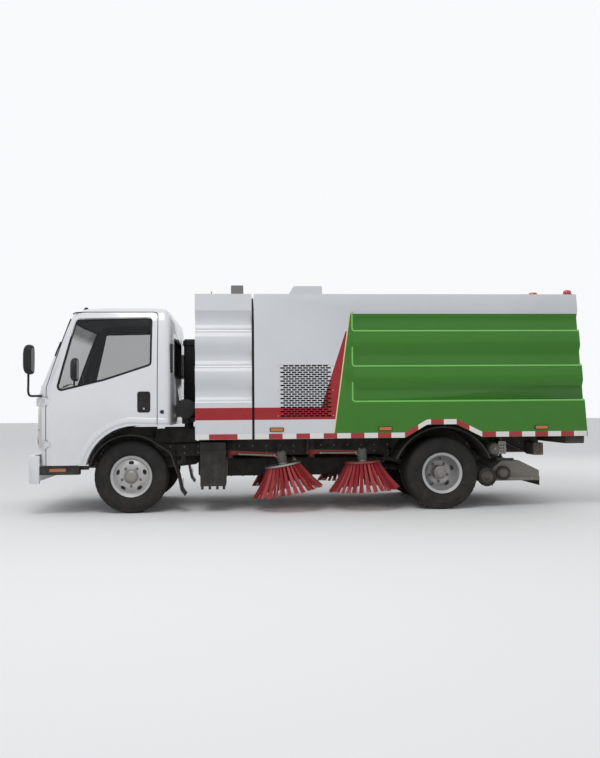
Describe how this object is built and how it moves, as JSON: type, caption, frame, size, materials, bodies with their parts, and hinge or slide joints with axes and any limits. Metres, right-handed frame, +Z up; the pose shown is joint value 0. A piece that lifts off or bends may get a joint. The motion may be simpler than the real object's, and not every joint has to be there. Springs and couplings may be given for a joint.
{
  "type": "street sweeper truck",
  "caption": "Light cab-over street sweeper truck with a corrugated tipping hopper, side disc brushes between the axles and a suction nozzle behind the rear wheels.",
  "frame": {"origin": "on the ground under the middle of the vehicle's overall length and width", "axes": "+X to the rear of the truck, +Y to its right side, +Z up"},
  "size_m": [5.995, 2.38, 2.57],
  "materials": {
    "white_paint": "semi-gloss paint on pressed steel",
    "green_paint": "semi-gloss paint on pressed steel",
    "red_paint": "satin paint on steel plate",
    "frame_black": "satin chassis paint with dust",
    "plastic_black": "grained black moulding",
    "tyre_rubber": "moulded rubber",
    "silver_paint": "silver wheel paint",
    "glass": "tinted safety glass",
    "lamp_lens": "clear moulded lens",
    "interior_grey": "grained trim and woven cloth",
    "bristle_red": "bunches of polypropylene bristle",
    "steel_grey": "grey paint with wear",
    "beacon_red": "clear red lens on a black foot"
  },
  "bodies": {
    "chassis": {"chassis_frame": "frame_black", "sub_frame": "frame_black", "front_axle": "frame_black", "rear_axle": "frame_black", "engine_block": "frame_black", "driveline": "frame_black", "fuel_tank": "frame_black", "front_bumper": "white_paint", "battery_box": "plastic_black", "front_mudguard_left": "plastic_black", "front_mudguard_right": "plastic_black", "rear_mudguard_left": "plastic_black", "rear_mudguard_right": "plastic_black", "equipment_housing": "white_paint", "vent_box": "steel_grey", "suction_duct": "plastic_black"},
    "knuckle_left": {"knuckle_left": "frame_black"},
    "knuckle_right": {"knuckle_right": "frame_black"},
    "tie_rod": {"tie_rod": "frame_black"},
    "front_wheel_left": {"front_rim_left": "silver_paint", "front_tyre_left": "tyre_rubber"},
    "front_wheel_right": {"front_rim_right": "silver_paint", "front_tyre_right": "tyre_rubber"},
    "rear_wheel_left": {"rear_rim_left": "silver_paint", "rear_tyre_outer_left": "tyre_rubber", "rear_tyre_inner_left": "tyre_rubber"},
    "rear_wheel_right": {"rear_rim_right": "silver_paint", "rear_tyre_outer_right": "tyre_rubber", "rear_tyre_inner_right": "tyre_rubber"},
    "cab": {"cab_shell": "white_paint", "lamp_bar": "lamp_lens", "windscreen": "glass", "rear_window": "glass", "dashboard": "interior_grey", "seats": "interior_grey", "mirror_left": "plastic_black", "mirror_right": "plastic_black"},
    "door_left": {"door_left": "white_paint", "door_glass_left": "glass"},
    "door_right": {"door_right": "white_paint", "door_glass_right": "glass"},
    "hopper": {"hopper": "green_paint", "outlet_cowl": "white_paint", "beacon": "beacon_red"},
    "tailgate": {"tailgate": "green_paint"},
    "tip_barrel": {"tip_barrel": "steel_grey"},
    "tip_rod": {"tip_rod": "silver_paint"},
    "brush_arm_front_left": {"brush_arm_front_left": "red_paint"},
    "brush_arm_front_right": {"brush_arm_front_right": "red_paint"},
    "brush_arm_rear_left": {"brush_arm_rear_left": "red_paint"},
    "brush_arm_rear_right": {"brush_arm_rear_right": "red_paint"},
    "brush_front_left": {"brush_front_left": "bristle_red"},
    "brush_front_right": {"brush_front_right": "bristle_red"},
    "brush_rear_left": {"brush_rear_left": "bristle_red"},
    "brush_rear_right": {"brush_rear_right": "bristle_red"},
    "suction_nozzle": {"suction_nozzle": "steel_grey"},
    "nozzle_wheel_fore_left": {"nozzle_wheel_fore_left": "tyre_rubber"},
    "nozzle_wheel_fore_right": {"nozzle_wheel_fore_right": "tyre_rubber"},
    "nozzle_wheel_aft_left": {"nozzle_wheel_aft_left": "tyre_rubber"},
    "nozzle_wheel_aft_right": {"nozzle_wheel_aft_right": "tyre_rubber"}
  },
  "joints": [
    {"name": "cab_tilt", "type": "hinge", "parent": "chassis", "child": "cab", "pos_m": [-2.8875, 0, 0.655], "axis": [0, -1, 0], "range_deg": [0, 45]},
    {"name": "door_left", "type": "hinge", "parent": "cab", "child": "door_left", "pos_m": [-2.7975, -0.985, 0.53], "axis": [0, 0, -1], "range_deg": [0, 65]},
    {"name": "door_right", "type": "hinge", "parent": "cab", "child": "door_right", "pos_m": [-2.7975, 0.985, 0.53], "axis": [0, 0, 1], "range_deg": [0, 65]},
    {"name": "steer_left", "type": "hinge", "parent": "chassis", "child": "knuckle_left", "pos_m": [-1.9375, -0.645, 0.3925], "axis": [0, 0, 1], "range_deg": [-35, 35]},
    {"name": "steer_right", "type": "hinge", "parent": "chassis", "child": "knuckle_right", "pos_m": [-1.9375, 0.645, 0.3925], "axis": [0, 0, 1], "range_deg": [-35, 35]},
    {"name": "tie_rod", "type": "hinge", "parent": "knuckle_left", "child": "tie_rod", "pos_m": [-1.7775, -0.6, 0.322], "axis": [0, 0, 1], "range_deg": [-35, 35]},
    {"name": "front_wheel_left", "type": "hinge", "parent": "knuckle_left", "child": "front_wheel_left", "pos_m": [-1.9375, -0.752, 0.3925], "axis": [0, 1, 0], "continuous": true},
    {"name": "front_wheel_right", "type": "hinge", "parent": "knuckle_right", "child": "front_wheel_right", "pos_m": [-1.9375, 0.752, 0.3925], "axis": [0, 1, 0], "continuous": true},
    {"name": "rear_wheel_left", "type": "hinge", "parent": "chassis", "child": "rear_wheel_left", "pos_m": [1.4225, -0.7125, 0.3925], "axis": [0, 1, 0], "continuous": true},
    {"name": "rear_wheel_right", "type": "hinge", "parent": "chassis", "child": "rear_wheel_right", "pos_m": [1.4225, 0.7125, 0.3925], "axis": [0, 1, 0], "continuous": true},
    {"name": "hopper_tip", "type": "hinge", "parent": "chassis", "child": "hopper", "pos_m": [2.6425, 0, 0.745], "axis": [0, 1, 0], "range_deg": [0, 45]},
    {"name": "tailgate_swing", "type": "hinge", "parent": "hopper", "child": "tailgate", "pos_m": [2.876, 0, 2.231], "axis": [0, -1, 0], "range_deg": [0, 75]},
    {"name": "tip_barrel", "type": "hinge", "parent": "chassis", "child": "tip_barrel", "pos_m": [1.9625, 0, 0.64], "axis": [0, 1, 0], "range_deg": [0, 62.6]},
    {"name": "tip_rod", "type": "slide", "parent": "tip_barrel", "child": "tip_rod", "axis": [-0.9767, 0, 0.2144], "range_m": [0, 0.423]},
    {"name": "brush_arm_front_left", "type": "hinge", "parent": "chassis", "child": "brush_arm_front_left", "pos_m": [-0.8855, -0.66, 0.63], "axis": [0, 0.5736, -0.8191], "range_deg": [0, 22]},
    {"name": "brush_arm_front_right", "type": "hinge", "parent": "chassis", "child": "brush_arm_front_right", "pos_m": [-0.8855, 0.66, 0.63], "axis": [0, 0.5736, 0.8191], "range_deg": [0, 22]},
    {"name": "brush_arm_rear_left", "type": "hinge", "parent": "chassis", "child": "brush_arm_rear_left", "pos_m": [0.0145, -0.66, 0.63], "axis": [0, 0.5736, -0.8191], "range_deg": [0, 20]},
    {"name": "brush_arm_rear_right", "type": "hinge", "parent": "chassis", "child": "brush_arm_rear_right", "pos_m": [0.0145, 0.66, 0.63], "axis": [0, 0.5736, 0.8191], "range_deg": [0, 20]},
    {"name": "brush_front_left", "type": "hinge", "parent": "brush_arm_front_left", "child": "brush_front_left", "pos_m": [-0.3055, -0.72, 0.5], "axis": [-0.1736, 0, 0.9848], "continuous": true},
    {"name": "brush_front_right", "type": "hinge", "parent": "brush_arm_front_right", "child": "brush_front_right", "pos_m": [-0.3055, 0.72, 0.5], "axis": [-0.1736, 0, 0.9848], "continuous": true},
    {"name": "brush_rear_left", "type": "hinge", "parent": "brush_arm_rear_left", "child": "brush_rear_left", "pos_m": [0.5745, -0.72, 0.52], "axis": [-0.0523, 0, 0.9986], "continuous": true},
    {"name": "brush_rear_right", "type": "hinge", "parent": "brush_arm_rear_right", "child": "brush_rear_right", "pos_m": [0.5745, 0.72, 0.52], "axis": [-0.0523, 0, 0.9986], "continuous": true},
    {"name": "nozzle_lift", "type": "slide", "parent": "chassis", "child": "suction_nozzle", "axis": [0, 0, 1], "range_m": [-0.23, 0]},
    {"name": "nozzle_wheel_fore_left", "type": "hinge", "parent": "suction_nozzle", "child": "nozzle_wheel_fore_left", "pos_m": [1.9375, -0.812, 0.34], "axis": [0, 1, 0], "continuous": true},
    {"name": "nozzle_wheel_fore_right", "type": "hinge", "parent": "suction_nozzle", "child": "nozzle_wheel_fore_right", "pos_m": [1.9375, 0.812, 0.34], "axis": [0, 1, 0], "continuous": true},
    {"name": "nozzle_wheel_aft_left", "type": "hinge", "parent": "suction_nozzle", "child": "nozzle_wheel_aft_left", "pos_m": [2.1225, -0.812, 0.38], "axis": [0, 1, 0], "continuous": true},
    {"name": "nozzle_wheel_aft_right", "type": "hinge", "parent": "suction_nozzle", "child": "nozzle_wheel_aft_right", "pos_m": [2.1225, 0.812, 0.38], "axis": [0, 1, 0], "continuous": true}
  ],
  "couplings": [
    {"joint": "steer_right", "follows": "steer_left", "ratio": 1},
    {"joint": "tie_rod", "follows": "steer_left", "ratio": -1},
    {"joint": "tip_barrel", "follows": "hopper_tip", "ratio": 1.3904},
    {"joint": "tip_rod", "follows": "hopper_tip", "m_per_rad": 0.53788}
  ]
}
